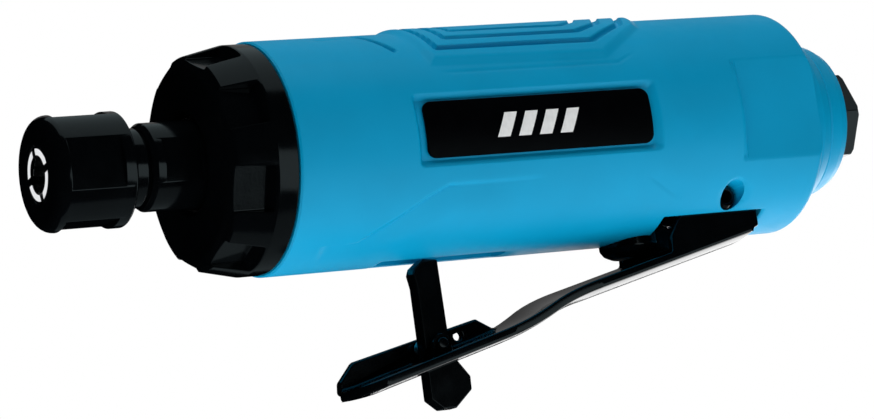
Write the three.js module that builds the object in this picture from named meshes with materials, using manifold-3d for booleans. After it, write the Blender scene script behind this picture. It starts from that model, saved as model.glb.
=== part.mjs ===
// Pneumatic straight die grinder with a safety lever.
// Millimetres. X runs along the spindle from the collet to the air inlet, Z is up, and the lever hangs below.
// Stations along X count from the joint face between the front cap and the grip sleeve.
import * as THREE from 'three';
import { mergeVertices } from 'three/addons/utils/BufferGeometryUtils.js';
import Module from 'manifold-3d';

const wasm = await Module();
wasm.setup();

// ---------- driving dimensions ----------
const GAP = 0.3;                 // clearance between pieces that touch on the real tool
const BODY_R = 21.5;             // outside of the grip sleeve
const BODY_END = 112;            // rear face of the sleeve
const SLEEVE_BORE_R = 17.4;
const SLEEVE_EDGE = 1.6;         // rounding of the sleeve's rear edge
const HOUSING_R = SLEEVE_BORE_R - GAP;
const MOTOR_BORE_R = 14.8;
const CAP_FRONT = -12.3;         // front face of the front cap
const NUT_FRONT = -41.2;
const NUT_BACK = -26;
const NUT_R = 10.45;
const NUT_FLAT = 9.4;            // axis to each of the four flats
const COLLET_BORE_R = 3.18;      // takes a quarter-inch shank
const COLLAR_R = 7.2;
const WRENCH_R = 8;
const WRENCH_FLAT = 7;
const PANEL_RISE = 0.8;          // finger panel above the sleeve
const LABEL = { start: 26, end: 73.7, half: 5.45, corner: 1.8 };
const FRAME = { start: 24, end: 75.7, half: 6.9, corner: 1.2, floor: 20.2 };
const FLAT_START = 94.5;         // wrench flats on the sleeve
const FLAT_Y = 19.15;
const PIVOT = { x: 92.7, z: -15.4 };
const LEVER_PIN_R = 2.2;
const LEVER_PIN_HALF = 12.3;     // half the lever pin's length, so its ends sit deep in their holes
const LEVER_HALF = 10.4;         // half the lever's width at its cheeks
const LEVER_TIP_HALF = 7.5;      // half its width at the front
const SLOT = { start: 79, end: 101.2, half: 11.2, top: -10.2 };
const PLATE = 1.8;               // thickness of the lever's sheet steel
const VALVE_X = 77;
const BUTTON_R = 5.6;
const PAWL = { x: 32.4, z: -37, half: 1.6, top: 16.1 };
const PAWL_PIN_R = 1.1;
const LUG = { inner: 2.05, outer: 3.3 };   // the two ears beside the pawl, from the middle plane
const POCKET = { start: 22, end: 49, half: 3.2, floor: 18.4 };
const INLET_END = 128.7;
const HEX_HALF = 8;              // half the inlet bushing's size across flats
const HEX_TURN = 30;             // degrees from a corner to straight down
const COLLET_TURN = -8;          // degrees from a slit of the collet to +Y
const ROTOR = { start: 6.4, end: 51.6, r: 9.8 };
const CHAMBER = { r: 11.3, rise: 1.2 };   // the cylinder's bore lies above the spindle's axis
const DOWEL = { start: 2.8, end: 9.2, r: 0.7, z: -12.4 };
const CAP_POCKET = { count: 8, turn: 24, floor: 18.4, half: 4.2 };
const OUTLET = { count: 6, turn: 30, half: 2.2 };
const VANE_COUNT = 5;
const BALL_COUNT = 7;
const FAR = 25;                  // beyond the outside of the body, for cutters

// ---------- materials ----------
const material = (color, roughness, metalness) => new THREE.MeshStandardMaterial({ color, roughness, metalness });
const BLUE = () => material(0x0a93cc, 0.42, 0);
const BLACK = () => material(0x0c0d10, 0.3, 0);
const BLACK_OXIDE = () => material(0x101114, 0.28, 0.6);
const STEEL = () => material(0x8f9499, 0.32, 0.9);
const CHROME = () => material(0xe8eaee, 0.12, 1);
const ALUMINIUM = () => material(0xa9adb2, 0.4, 0.85);
const BRASS = () => material(0xb8913f, 0.35, 0.9);
const RUBBER = () => material(0x17181a, 0.85, 0);
const FELT = () => material(0x5f6266, 0.95, 0);
const VANE = () => material(0x6b4a2b, 0.8, 0);

// ---------- geometry helpers ----------
// Welds a geometry's corners, drops the triangles that collapse, and turns its faces outwards.
function weld(geometry) {
  const plain = geometry.clone();
  plain.deleteAttribute('normal');
  plain.deleteAttribute('uv');
  const merged = mergeVertices(plain, 1e-4);
  const place = merged.getAttribute('position');
  const kept = [];
  let volume = 0;
  const [a, b, c] = [new THREE.Vector3(), new THREE.Vector3(), new THREE.Vector3()];
  for (let i = 0; i < merged.index.count; i += 3) {
    const corner = [0, 1, 2].map((k) => merged.index.getX(i + k));
    if (new Set(corner).size < 3) continue;
    kept.push(...corner);
    a.fromBufferAttribute(place, corner[0]);
    b.fromBufferAttribute(place, corner[1]);
    c.fromBufferAttribute(place, corner[2]);
    volume += a.dot(b.cross(c));
  }
  if (volume < 0) {
    for (let i = 0; i < kept.length; i += 3) [kept[i], kept[i + 1]] = [kept[i + 1], kept[i]];
  }
  merged.setIndex(kept);
  return merged;
}

// Hands a closed geometry to the boolean library.
function solid(geometry) {
  const welded = weld(geometry);
  const vertProperties = new Float32Array(welded.getAttribute('position').array);
  const triVerts = new Uint32Array(welded.index.array);
  return new wasm.Manifold(new wasm.Mesh({ numProp: 3, vertProperties, triVerts }));
}

// Brings a boolean result back as a geometry.
function geometryOf(body) {
  const mesh = body.getMesh();
  const geometry = new THREE.BufferGeometry();
  geometry.setAttribute('position', new THREE.BufferAttribute(new Float32Array(mesh.vertProperties), 3));
  geometry.setIndex(Array.from(mesh.triVerts));
  return geometry;
}

// A piece turned about the X axis, from [radius, station] corners that go once round the section.
function turned(corners, segments = 28) {
  const section = corners.map(([radius, station]) => new THREE.Vector2(radius, station));
  if (corners[0][0] > 0) section.push(section[0].clone());
  return new THREE.LatheGeometry(section, segments).rotateZ(-Math.PI / 2);
}

// Rotates a section's corner list so that it starts and ends on the axis.
function openSection(corners) {
  const count = corners.length;
  const first = corners.findIndex(([r], i) => r === 0 && corners[(i + 1) % count][0] > 0);
  return corners.map((_, i) => corners[(first + i) % count]);
}

const rod = (start, end, r, segments = 28) =>
  turned([[0, start], [r, start], [r, end], [0, end]], segments);
const ring = (start, end, inner, outer, segments = 28) =>
  turned([[inner, start], [outer, start], [outer, end], [inner, end]], segments);

function box(x, y, z) {
  const geometry = new THREE.BoxGeometry(x[1] - x[0], y[1] - y[0], z[1] - z[0]);
  return geometry.translate((x[0] + x[1]) / 2, (y[0] + y[1]) / 2, (z[0] + z[1]) / 2);
}

// A cylinder along Y or Z.
function crossRod(x, z, r, y, segments = 20) {
  return new THREE.CylinderGeometry(r, r, y[1] - y[0], segments).translate(x, (y[0] + y[1]) / 2, z);
}
function uprightRod(x, r, z, segments = 24) {
  const geometry = new THREE.CylinderGeometry(r, r, z[1] - z[0], segments).rotateX(Math.PI / 2);
  return geometry.translate(x, 0, (z[0] + z[1]) / 2);
}

const shapeOf = (corners) => new THREE.Shape(corners.map(([u, v]) => new THREE.Vector2(u, v)));

// An outline in X and Z pushed along Y, and an outline in X and Y pushed along Z.
function crossPrism(shape, y, curveSegments = 8) {
  const options = { depth: y[1] - y[0], bevelEnabled: false, curveSegments };
  return new THREE.ExtrudeGeometry(shape, options).rotateX(Math.PI / 2).translate(0, y[1], 0);
}
function uprightPrism(shape, z, curveSegments = 8) {
  const options = { depth: z[1] - z[0], bevelEnabled: false, curveSegments };
  return new THREE.ExtrudeGeometry(shape, options).translate(0, 0, z[0]);
}

function roundedRectangle(start, end, half, corner) {
  const shape = new THREE.Shape();
  shape.moveTo(start + corner, -half);
  shape.lineTo(end - corner, -half);
  shape.absarc(end - corner, -half + corner, corner, -Math.PI / 2, 0);
  shape.absarc(end - corner, half - corner, corner, 0, Math.PI / 2);
  shape.absarc(start + corner, half - corner, corner, Math.PI / 2, Math.PI);
  shape.absarc(start + corner, -half + corner, corner, Math.PI, Math.PI * 1.5);
  return shape;
}

// A round wire along a curve.
function wire(curve, r, steps, sides = 4) {
  const section = new THREE.Shape();
  for (let i = 0; i < sides; i += 1) {
    const turn = (2 * Math.PI * i) / sides;
    const point = [r * Math.cos(turn), r * Math.sin(turn)];
    if (i === 0) section.moveTo(...point);
    else section.lineTo(...point);
  }
  return new THREE.ExtrudeGeometry(section, { steps, bevelEnabled: false, extrudePath: curve });
}

class Coil extends THREE.Curve {
  constructor(radius, turns, length) {
    super();
    Object.assign(this, { radius, turns, length });
  }

  getPoint(t, target = new THREE.Vector3()) {
    const turn = 2 * Math.PI * this.turns * t;
    return target.set(this.radius * Math.cos(turn), this.radius * Math.sin(turn), this.length * t);
  }
}

// Stands a piece turned about X upright at a station, its lower stations at the bottom.
const uprightAt = (x, geometry) => geometry.rotateY(-Math.PI / 2).translate(x, 0, 0);
const turnedAbout = (geometry, degrees) => geometry.clone().rotateX(THREE.MathUtils.degToRad(degrees));

// ---------- the tool as a group of named pieces ----------
const tool = new THREE.Group();
function piece(name, shape, finish) {
  const geometry = shape instanceof THREE.BufferGeometry ? weld(shape) : geometryOf(shape);
  const mesh = new THREE.Mesh(geometry, finish);
  mesh.name = name;
  tool.add(mesh);
}

// ---------- chuck ----------
function colletNut() {
  const edge = 2.4;
  const section = [[5.1, NUT_FRONT], [NUT_R - edge, NUT_FRONT]];
  for (let i = 1; i <= 4; i += 1) {
    const turn = (Math.PI / 2) * (i / 4);
    section.push([NUT_R - edge + edge * Math.sin(turn), NUT_FRONT + edge - edge * Math.cos(turn)]);
  }
  section.push([NUT_R, NUT_BACK - 0.4], [NUT_R - 0.4, NUT_BACK], [7, NUT_BACK], [7, -37], [5.6, -38.5]);
  let nut = solid(turned(section, 32));
  for (let i = 0; i < 4; i += 1) {
    const flat = box([-38.6, -28.4], [NUT_FLAT, NUT_FLAT + 4], [-8, 8]);
    nut = nut.subtract(solid(turnedAbout(flat, 90 * i)));
  }
  return nut;
}

function collet() {
  const section = [
    [COLLET_BORE_R, NUT_FRONT + 0.2], [4.8, NUT_FRONT + 0.2], [4.8, -38.8], [5.9, -37.3], [5.9, -36],
    [4.4, -22], [COLLET_BORE_R, -22],
  ];
  let body = solid(turned(section, 24));
  for (let i = 0; i < 4; i += 1) {
    const slit = box([NUT_FRONT - 1, NUT_BACK], [2, 7], [-0.35, 0.35]);
    body = body.subtract(solid(turnedAbout(slit, COLLET_TURN + 90 * i)));
  }
  return body;
}

function spindle() {
  const section = [
    [6.4, -35.7], [6.6, -35.4], [6.6, -25.7], [6.9, -25.7], [COLLAR_R, -25.4], [COLLAR_R, -22.9], [6.9, -22.6],
    [6.3, -22.6], [6.3, -22], [7.4, -22], [WRENCH_R, -21.2], [WRENCH_R, -8], [6.3, -7.4], [5, -6.6],
    [5, 52], [4, 52.6], [4, 62.4], [3.6, 62.8], [0, 62.8], [0, -20], [COLLET_BORE_R, -20], [4.8, -21.6],
  ];
  let shaft = solid(turned(openSection(section), 24));
  for (const side of [-1, 1]) {
    const y = side < 0 ? [-10, -WRENCH_FLAT] : [WRENCH_FLAT, 10];
    shaft = shaft.subtract(solid(box([-19.6, -12.6], y, [-9, 9])));
  }
  return shaft;
}

// ---------- motor ----------
const vaneTurn = (index) => (360 * index) / VANE_COUNT;

function rotor() {
  let body = solid(ring(ROTOR.start, ROTOR.end, 5.3, ROTOR.r, 30));
  for (let i = 0; i < VANE_COUNT; i += 1) {
    const slot = box([ROTOR.start - 1, ROTOR.end + 1], [6, ROTOR.r + 2], [-0.95, 0.95]);
    body = body.subtract(solid(turnedAbout(slot, vaneTurn(i))));
  }
  return body;
}

function vane(index) {
  const blade = box([ROTOR.start + GAP, ROTOR.end - GAP], [6 + GAP, ROTOR.r - 0.05], [-0.65, 0.65]);
  return turnedAbout(blade, vaneTurn(index));
}

const locatingPin = () => rod(DOWEL.start, DOWEL.end, DOWEL.r, 12).translate(0, 0, DOWEL.z);
const pinHole = () => rod(DOWEL.start - GAP, DOWEL.end + GAP, DOWEL.r + 0.25, 12).translate(0, 0, DOWEL.z);

// The motor's cylinder: an off-centre bore, and exhaust holes through its far wall.
function motorCylinder() {
  const bore = rod(5, 53, CHAMBER.r).translate(0, 0, CHAMBER.rise);
  let body = solid(rod(6, 52, MOTOR_BORE_R - GAP)).subtract(solid(bore));
  for (const x of [20, 29, 38]) body = body.subtract(solid(crossRod(x, 0, 1.6, [10, 16], 12)));
  return body.subtract(solid(pinHole()));
}

function frontEndPlate() {
  const outer = MOTOR_BORE_R - GAP;
  const seat = 11 + GAP;
  const section = [[6.2, 1.3], [seat, 1.3], [seat, -6.3], [outer, -6.3], [outer, 5.7], [6.2, 5.7]];
  return solid(turned(section)).subtract(solid(pinHole()));
}

function rearEndPlate() {
  const outer = MOTOR_BORE_R - GAP;
  return turned([[5.3, 52.3], [outer, 52.3], [outer, 62.2], [9.3, 62.2], [9.3, 55.2], [5.3, 55.2]]);
}

// A ball bearing as three pieces: rings with a groove, and balls joined by their cage.
function bearing(name, start, width, bore, outside) {
  const middle = start + width / 2;
  const pitch = (bore + outside) / 2;
  const ball = (outside - bore) * 0.235;
  const groove = ball * 0.45;
  const wall = ball * 0.55 + GAP / 3;
  const inner = [
    [bore, start], [pitch - wall, start], [pitch - wall, middle - ball * 0.8], [pitch - wall - groove, middle],
    [pitch - wall, middle + ball * 0.8], [pitch - wall, start + width], [bore, start + width],
  ];
  const outer = [
    [outside, start], [outside, start + width], [pitch + wall, start + width], [pitch + wall, middle + ball * 0.8],
    [pitch + wall + groove, middle], [pitch + wall, middle - ball * 0.8], [pitch + wall, start],
  ];
  let cage = solid(ring(middle - 0.7, middle + 0.7, pitch - 0.45, pitch + 0.45, 14));
  for (let i = 0; i < BALL_COUNT; i += 1) {
    const sphere = new THREE.SphereGeometry(ball * 0.86, 6, 4).translate(middle, pitch, 0);
    cage = cage.add(solid(turnedAbout(sphere, (360 * i) / BALL_COUNT)));
  }
  piece(`${name}_inner_ring`, turned(inner, 20), STEEL());
  piece(`${name}_outer_ring`, turned(outer, 24), STEEL());
  piece(`${name}_ball_cage`, cage, STEEL());
}

// ---------- casings ----------
const leverSlot = () => box([SLOT.start, SLOT.end], [-SLOT.half, SLOT.half], [-FAR, SLOT.top]);

// Where a cutter for one side of the body lies across it.
const sideSpan = (side, from) => (side < 0 ? [-FAR, -from] : [from, FAR]);

function motorHousing() {
  const section = [
    [MOTOR_BORE_R, -6.6], [HOUSING_R, -6.6], [HOUSING_R, BODY_END - 0.6], [6.95, BODY_END - 0.6], [6.95, 100.6],
    [5.5, 100.6], [5.5, 70], [0, 70], [0, 65], [MOTOR_BORE_R, 65],
  ];
  let body = solid(turned(openSection(section), 40));
  body = body.subtract(solid(leverSlot()));
  body = body.subtract(solid(uprightRod(VALVE_X, BUTTON_R + 0.35, [-FAR, -8])));
  body = body.subtract(solid(uprightRod(VALVE_X, 3.2, [-9, -3], 20)));
  for (const angle of [-60, -20, 20, 60]) {
    const port = rod(64, BODY_END, 1.8, 10).translate(0, 0, 12.2);
    body = body.subtract(solid(turnedAbout(port, angle)));
  }
  return body;
}

function frontCap() {
  const section = [
    [8.7, CAP_FRONT + 0.7], [9.4, CAP_FRONT], [17.3, CAP_FRONT], [19.5, CAP_FRONT + 1.1], [BODY_R, -2.2],
    [BODY_R, 0], [HOUSING_R + GAP, 0], [HOUSING_R + GAP, -6.9], [12.6, -6.9], [12.6, -8.6], [8.7, -8.6],
  ];
  let cap = solid(turned(section, 40));
  const { count, turn, floor, half } = CAP_POCKET;
  const pocketShape = shapeOf([[CAP_FRONT - 1, floor], [-5.2, floor], [-3.6, FAR], [CAP_FRONT - 1, FAR]]);
  const pocket = crossPrism(pocketShape, [-half, half]);
  for (let i = 0; i < count; i += 1) {
    cap = cap.subtract(solid(turnedAbout(pocket, (360 / count) * i + turn)));
  }
  return cap;
}

function panelOutline() {
  const side = [[29.5, 16], [31, 18.2], [67.6, 18.5], [75, 15], [78, 12.2], [82.5, 6], [84, 0]];
  const mirrored = side.slice(0, -1).reverse().map(([x, y]) => [x, -y]);
  return shapeOf([[28.8, 0], ...side, ...mirrored].reverse());
}

// What the label and its frame cut out of each side of the sleeve.
function labelRecess(side) {
  const outline = roundedRectangle(FRAME.start, FRAME.end, FRAME.half, FRAME.corner);
  return solid(crossPrism(outline, sideSpan(side, 10))).subtract(solid(rod(0, 100, FRAME.floor, 48)));
}

function gripSleeve() {
  const edge = SLEEVE_EDGE;
  const section = [[SLEEVE_BORE_R, GAP], [BODY_R, GAP], [BODY_R, BODY_END - edge]];
  for (let i = 1; i <= 4; i += 1) {
    const turn = (Math.PI / 2) * (i / 4);
    section.push([BODY_R - edge + edge * Math.cos(turn), BODY_END - edge + edge * Math.sin(turn)]);
  }
  section.push([SLEEVE_BORE_R, BODY_END]);
  let sleeve = solid(turned(section, 48));
  const panel = solid(uprightPrism(panelOutline(), [2, FAR]))
    .intersect(solid(ring(20, 90, 19, BODY_R + PANEL_RISE, 48)));
  sleeve = sleeve.add(panel);
  for (const side of [-1, 1]) {
    sleeve = sleeve.subtract(labelRecess(side));
    sleeve = sleeve.subtract(solid(box([FLAT_START, BODY_END + 1], sideSpan(side, FLAT_Y), [-12, 12])));
  }
  sleeve = sleeve.subtract(solid(leverSlot()));
  sleeve = sleeve.subtract(solid(uprightRod(VALVE_X, BUTTON_R + 0.35, [-FAR, -12])));
  sleeve = sleeve.subtract(solid(crossRod(PIVOT.x, PIVOT.z, LEVER_PIN_R + GAP, [-FAR, FAR])));
  const pocket = box([POCKET.start, POCKET.end], [-POCKET.half, POCKET.half], [-FAR, -POCKET.floor]);
  return sleeve.subtract(solid(pocket));
}

function labelPlate(side) {
  const outline = roundedRectangle(LABEL.start, LABEL.end, LABEL.half, LABEL.corner);
  const shell = ring(20, 80, FRAME.floor + GAP, FRAME.floor + 0.8, 48);
  return solid(crossPrism(outline, sideSpan(side, 10))).intersect(solid(shell));
}

function exhaustDeflector() {
  const section = [
    [15.4, 112.3], [18.2, 112.3], [17.5, 114.6], [16.1, 117], [15.5, 117.3], [15.6, 117.7], [14.6, 120.6],
    [13.7, 122.3], [13.1, 122.7], [8.4, 122.7], [8.4, 121.2], [13, 121.2],
  ];
  let shell = solid(turned(section, 32));
  for (let i = 0; i < OUTLET.count; i += 1) {
    const slot = box([120, 124], [-OUTLET.half, OUTLET.half], [9.8, 12]);
    shell = shell.subtract(solid(turnedAbout(slot, (360 / OUTLET.count) * i + OUTLET.turn)));
  }
  return shell;
}

function inletBushing() {
  const section = [
    [4.4, 101], [6.6, 101], [6.6, 109.5], [5.8, 109.5], [5.8, 110.9], [6.6, 110.9], [6.6, 111.7], [8, 111.7],
    [8, 122.9], [10, 122.9], [10, INLET_END - 1.2], [8.7, INLET_END], [6.4, INLET_END],
    [5.75, INLET_END - 0.7], [5.75, 116.4], [4.4, 115.4],
  ];
  const hexagon = [];
  for (let i = 0; i < 6; i += 1) {
    const turn = THREE.MathUtils.degToRad(60 * i + HEX_TURN);
    const reach = HEX_HALF / Math.cos(Math.PI / 6);
    hexagon.push([reach * Math.cos(turn), reach * Math.sin(turn)]);
  }
  const bar = uprightPrism(shapeOf(hexagon), [100, 130]).rotateY(Math.PI / 2);
  return solid(turned(section, 24)).intersect(solid(bar));
}

// ---------- lever and pawl ----------
// The lever's underside as a centre line in X and Z, with its bends as curves.
function leverLine() {
  const path = new THREE.Path();
  path.moveTo(99.2, -22.05);
  path.lineTo(64, -30.2);
  path.quadraticCurveTo(59, -31.4, 55.6, -33.1);
  path.quadraticCurveTo(50.5, -35.9, 45, -37.4);
  path.lineTo(12.5, -45.6);
  return path.getPoints(6);
}

// The same line moved to its upper side by the sheet's thickness.
function upperLine(under) {
  return under.map((point, i) => {
    const ahead = under[Math.min(i + 1, under.length - 1)];
    const behind = under[Math.max(i - 1, 0)];
    const run = ahead.clone().sub(behind).normalize();
    return new THREE.Vector2(run.y, -run.x).multiplyScalar(PLATE).add(point);
  });
}

// The lever's outline seen from above, with its rounded front tip.
function leverPlan() {
  const plan = new THREE.Shape();
  plan.moveTo(99.2, -LEVER_HALF);
  plan.lineTo(99.2, LEVER_HALF);
  plan.lineTo(64, LEVER_HALF);
  plan.lineTo(46, LEVER_TIP_HALF);
  plan.lineTo(18, LEVER_TIP_HALF);
  plan.quadraticCurveTo(13.2, 6, 12.8, 0);
  plan.quadraticCurveTo(13.2, -6, 18, -LEVER_TIP_HALF);
  plan.lineTo(46, -LEVER_TIP_HALF);
  plan.lineTo(64, -LEVER_HALF);
  return plan;
}

function leverPlate() {
  const under = leverLine();
  const outline = new THREE.Shape([...under, ...upperLine(under).reverse()]);
  const blank = solid(crossPrism(outline, [-LEVER_HALF, LEVER_HALF]));
  return blank.intersect(solid(uprightPrism(leverPlan(), [-60, 0])));
}

// One of the two cheeks that hold the lever on its pin and fill the slot's sides.
function leverCheek() {
  const cheek = new THREE.Shape();
  cheek.moveTo(80.4, -25.2);
  cheek.lineTo(80.6, -21.6);
  cheek.lineTo(83.4, -17);
  cheek.absarc(PIVOT.x, PIVOT.z, 4.5, Math.PI * 1.05, Math.PI * 0.1, true);
  cheek.lineTo(100.5, -17.6);
  cheek.lineTo(100.5, -21.2);
  cheek.lineTo(99.2, -21.6);
  return cheek;
}

function throttleLever() {
  let lever = leverPlate();
  const flange = shapeOf([
    [16.6, -43.6], [19.3, -37.8], [33, -34.8], [45.2, -32.2], [50.2, -35.2], [45, -37], [33, -40.2],
  ]);
  const lug = shapeOf([[30, -40], [30.6, -36.4], [32, -35], [32.8, -35], [34.2, -36.4], [34.8, -39]]);
  lever = lever.add(solid(crossPrism(flange, [LEVER_TIP_HALF - 1.6, LEVER_TIP_HALF])));
  lever = lever.subtract(solid(crossRod(40.8, -35.1, 0.8, [4, 9], 12)));
  for (const side of [-1, 1]) {
    const cheekSpan = side < 0 ? [-LEVER_HALF, PLATE - LEVER_HALF] : [LEVER_HALF - PLATE, LEVER_HALF];
    const lugSpan = side < 0 ? [-LUG.outer, -LUG.inner] : [LUG.inner, LUG.outer];
    lever = lever.add(solid(crossPrism(leverCheek(), cheekSpan, 10)));
    lever = lever.add(solid(crossPrism(lug, lugSpan)));
  }
  lever = lever.subtract(solid(crossRod(PIVOT.x, PIVOT.z, LEVER_PIN_R + GAP, [-12, 12])));
  lever = lever.subtract(solid(crossRod(PAWL.x, PAWL.z, PAWL_PIN_R + 0.15, [-4, 4], 16)));
  return lever.subtract(solid(box([18.9, 37.6], [-LUG.inner, LUG.inner], [-50, -37.3])));
}

function safetyPawl() {
  const corners = [
    [-2.9, -3.4], [-3, -10], [-0.7, -12], [2.1, -12], [5.8, -8.9], [5.9, -6.4], [3.6, -3.2],
    [2.5, 0], [2.4, PAWL.top - 0.3], [-0.5, PAWL.top], [-2.6, 14.6], [-3.1, 13.4], [-2.7, 11], [-2.8, 0],
  ];
  const outline = shapeOf(corners.map(([x, z]) => [PAWL.x + x, PAWL.z + z]).reverse());
  const blank = solid(crossPrism(outline, [-PAWL.half, PAWL.half]));
  return blank.subtract(solid(crossRod(PAWL.x, PAWL.z, PAWL_PIN_R + GAP, [-3, 3], 16)));
}

function pawlSpring() {
  const coil = wire(new Coil(1.45, 3, 1.6), 0.2, 30);
  return coil.rotateX(-Math.PI / 2).translate(PAWL.x, 3.65, PAWL.z);
}

// ---------- throttle valve ----------
function valveButton() {
  const section = [
    [0, -24.4], [3, -24.2], [4.9, -23.3], [BUTTON_R, -22.2], [BUTTON_R, -19.2], [2.8, -19.2], [2.8, -12.9],
    [2.2, -12.9], [2.2, -11.5], [2.8, -11.5], [2.8, -4.6], [0, -4.6],
  ];
  return uprightAt(VALVE_X, turned(section, 24));
}

const valveBushing = () => uprightAt(VALVE_X, ring(-15.2, -8.3, 3.15, BUTTON_R, 24));

function oRing(inner, outer, start, end, segments) {
  const middle = (inner + outer) / 2;
  const across = (start + end) / 2;
  return turned([[middle, start], [outer, across], [middle, end], [inner, across]], segments);
}

const valveSpring = () => wire(new Coil(2.1, 5, 8.6), 0.35, 50).translate(VALVE_X, 0, -4);

// ---------- assembly ----------
piece('collet_nut', colletNut(), BLACK_OXIDE());
piece('collet', collet(), CHROME());
piece('spindle', spindle(), BLACK_OXIDE());
piece('dust_seal', ring(-8.3, -7.2, 8.4, 12.3, 24), FELT());
bearing('front_bearing', -6, 7, 5.3, 11);
bearing('rear_bearing', 55.5, 6.4, 4.3, 9);
piece('bearing_spacer', ring(1.3, 6.1, 5.3, 5.9, 20), STEEL());
piece('front_end_plate', frontEndPlate(), STEEL());
piece('cylinder', motorCylinder(), STEEL());
piece('rear_end_plate', rearEndPlate(), STEEL());
piece('locating_pin', locatingPin(), STEEL());
piece('rotor', rotor(), STEEL());
for (let i = 0; i < VANE_COUNT; i += 1) piece(`vane_${i + 1}`, vane(i), VANE());
piece('motor_housing', motorHousing(), ALUMINIUM());
piece('front_cap', frontCap(), BLACK());
piece('grip_sleeve', gripSleeve(), BLUE());
piece('label_plate_left', labelPlate(-1), BLACK());
piece('label_plate_right', labelPlate(1), BLACK());
piece('throttle_lever', throttleLever(), BLACK_OXIDE());
piece('lever_pin', crossRod(PIVOT.x, PIVOT.z, LEVER_PIN_R, [-LEVER_PIN_HALF, LEVER_PIN_HALF]), BLACK_OXIDE());
piece('safety_pawl', safetyPawl(), BLACK_OXIDE());
piece('pawl_pin', crossRod(PAWL.x, PAWL.z, PAWL_PIN_R, [-3.9, 5.5], 16), BLACK_OXIDE());
piece('pawl_spring', pawlSpring(), STEEL());
piece('valve_button', valveButton(), BLACK());
piece('valve_bushing', valveBushing(), BRASS());
piece('valve_o_ring', uprightAt(VALVE_X, oRing(2.3, 3.05, -12.7, -11.7, 16)), RUBBER());
piece('valve_spring', valveSpring(), STEEL());
piece('muffler_felt', ring(112.6, 115.4, 8.6, 14.1, 24), FELT());
piece('exhaust_deflector', exhaustDeflector(), BLUE());
piece('inlet_bushing', inletBushing(), BLACK_OXIDE());
piece('inlet_o_ring', oRing(5.95, 6.85, 109.75, 110.65, 20), RUBBER());
piece('inlet_screen', rod(116.5, 116.9, 5.4, 24), BRASS());

// The origin is the middle of the whole tool's box.
const middle = new THREE.Box3().setFromObject(tool, true).getCenter(new THREE.Vector3());
tool.position.copy(middle).negate();

export default tool;
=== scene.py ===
"""Looks of a pneumatic die grinder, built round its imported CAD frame.

Pieces are made in millimetres in the tool's own frame, then placed in the row frame. In the tool's frame
x is the station along the spindle from the joint face between front cap and grip sleeve, the spindle's
axis is y = z = 0, and z is up. A place on the round body is (x, angle), where the angle runs from -y (0)
towards +z (90).
"""
import math

import bmesh
import bpy
import numpy as np
from mathutils import Matrix, Quaternion, Vector


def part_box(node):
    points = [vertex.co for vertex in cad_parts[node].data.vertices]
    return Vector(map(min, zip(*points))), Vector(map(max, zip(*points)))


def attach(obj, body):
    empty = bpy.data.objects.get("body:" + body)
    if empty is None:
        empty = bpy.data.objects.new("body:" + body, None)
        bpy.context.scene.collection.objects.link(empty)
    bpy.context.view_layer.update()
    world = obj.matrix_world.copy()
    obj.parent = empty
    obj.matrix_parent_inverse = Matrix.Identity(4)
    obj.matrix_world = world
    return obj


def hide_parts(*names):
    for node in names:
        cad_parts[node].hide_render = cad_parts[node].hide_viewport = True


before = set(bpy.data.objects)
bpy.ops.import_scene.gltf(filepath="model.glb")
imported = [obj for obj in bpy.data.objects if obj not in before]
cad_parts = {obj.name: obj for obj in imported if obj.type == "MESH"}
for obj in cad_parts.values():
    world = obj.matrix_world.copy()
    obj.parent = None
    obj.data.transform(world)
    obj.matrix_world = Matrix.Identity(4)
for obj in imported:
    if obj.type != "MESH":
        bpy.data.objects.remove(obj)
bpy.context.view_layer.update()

# ---------- places and driving dimensions, in millimetres ----------
MM = 0.001
JOINT_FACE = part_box("front_cap")[1].x
AXIS_HEIGHT = sum((corner.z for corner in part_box("spindle")), 0.0) / 2
TOOL_ORIGIN = Vector((JOINT_FACE, 0.0, AXIS_HEIGHT))
GAP = 0.3

BODY_R = 21.5
BODY_END = 112.0
SLEEVE_BORE_R = 17.4
SLEEVE_EDGE = 1.6
PANEL_RISE = 0.8
FLAT_Y = 19.15
FLAT_START = 94.5
LABEL = {"start": 26.0, "end": 73.7, "half": 5.45, "corner": 1.8, "bottom": 20.5, "top": 21.0}
RECESS = {"start": 24.0, "end": 75.7, "half": 6.9, "corner": 1.2, "floor": 20.2, "wall": 1.0, "end_wall": 1.7}
PIVOT = Vector((92.7, 0.0, -15.4))
LEVER_PIN_R = 2.2
LEVER_PIN_HALF = 12.3
LEVER_HALF = 10.4
LEVER_TIP_HALF = 7.5
LEVER_CROWN = 1.4
LEVER_TIP = 12.8
LEVER_REAR = 99.2
LUG = (2.05, 3.3)
SLOT = {"start": 79.0, "end": 101.2, "half": 11.2, "top": -10.2}
POCKET = {"start": 22.0, "end": 49.0, "half": 3.2, "floor": 18.4}
VALVE_X = 77.0
BUTTON_R = 5.6

CAP_FRONT = -12.3
CAP_RIM = (-3.8, 21.1)
NUT_FRONT = -41.2
NUT_BACK = -26.0
NUT_R = 10.45
NUT_FLAT = 9.4
COLLET_BORE_R = 3.18
COLLET_TURN = -8.0
COLLAR_R = 7.2
WRENCH_R = 8.0
WRENCH_FLAT = 7.0
INLET_END = 128.7
HEX_HALF = 8.0
HEX_TURN = 30

PLATE = 1.8
PAWL = Vector((32.4, 0.0, -37.0))
PAWL_HALF = 1.6
PAWL_TOP = 16.1
PAWL_PIN_R = 1.1


# ---------- mesh helpers ----------
def new_piece(name, points, faces):
    """A mesh object with its faces pointing out."""
    mesh = bpy.data.meshes.new(name)
    mesh.from_pydata([tuple(p) for p in points], [], [tuple(f) for f in faces])
    shape = bmesh.new()
    shape.from_mesh(mesh)
    bmesh.ops.recalc_face_normals(shape, faces=shape.faces)
    shape.to_mesh(mesh)
    shape.free()
    piece = bpy.data.objects.new(name, mesh)
    bpy.context.scene.collection.objects.link(piece)
    return piece


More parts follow.
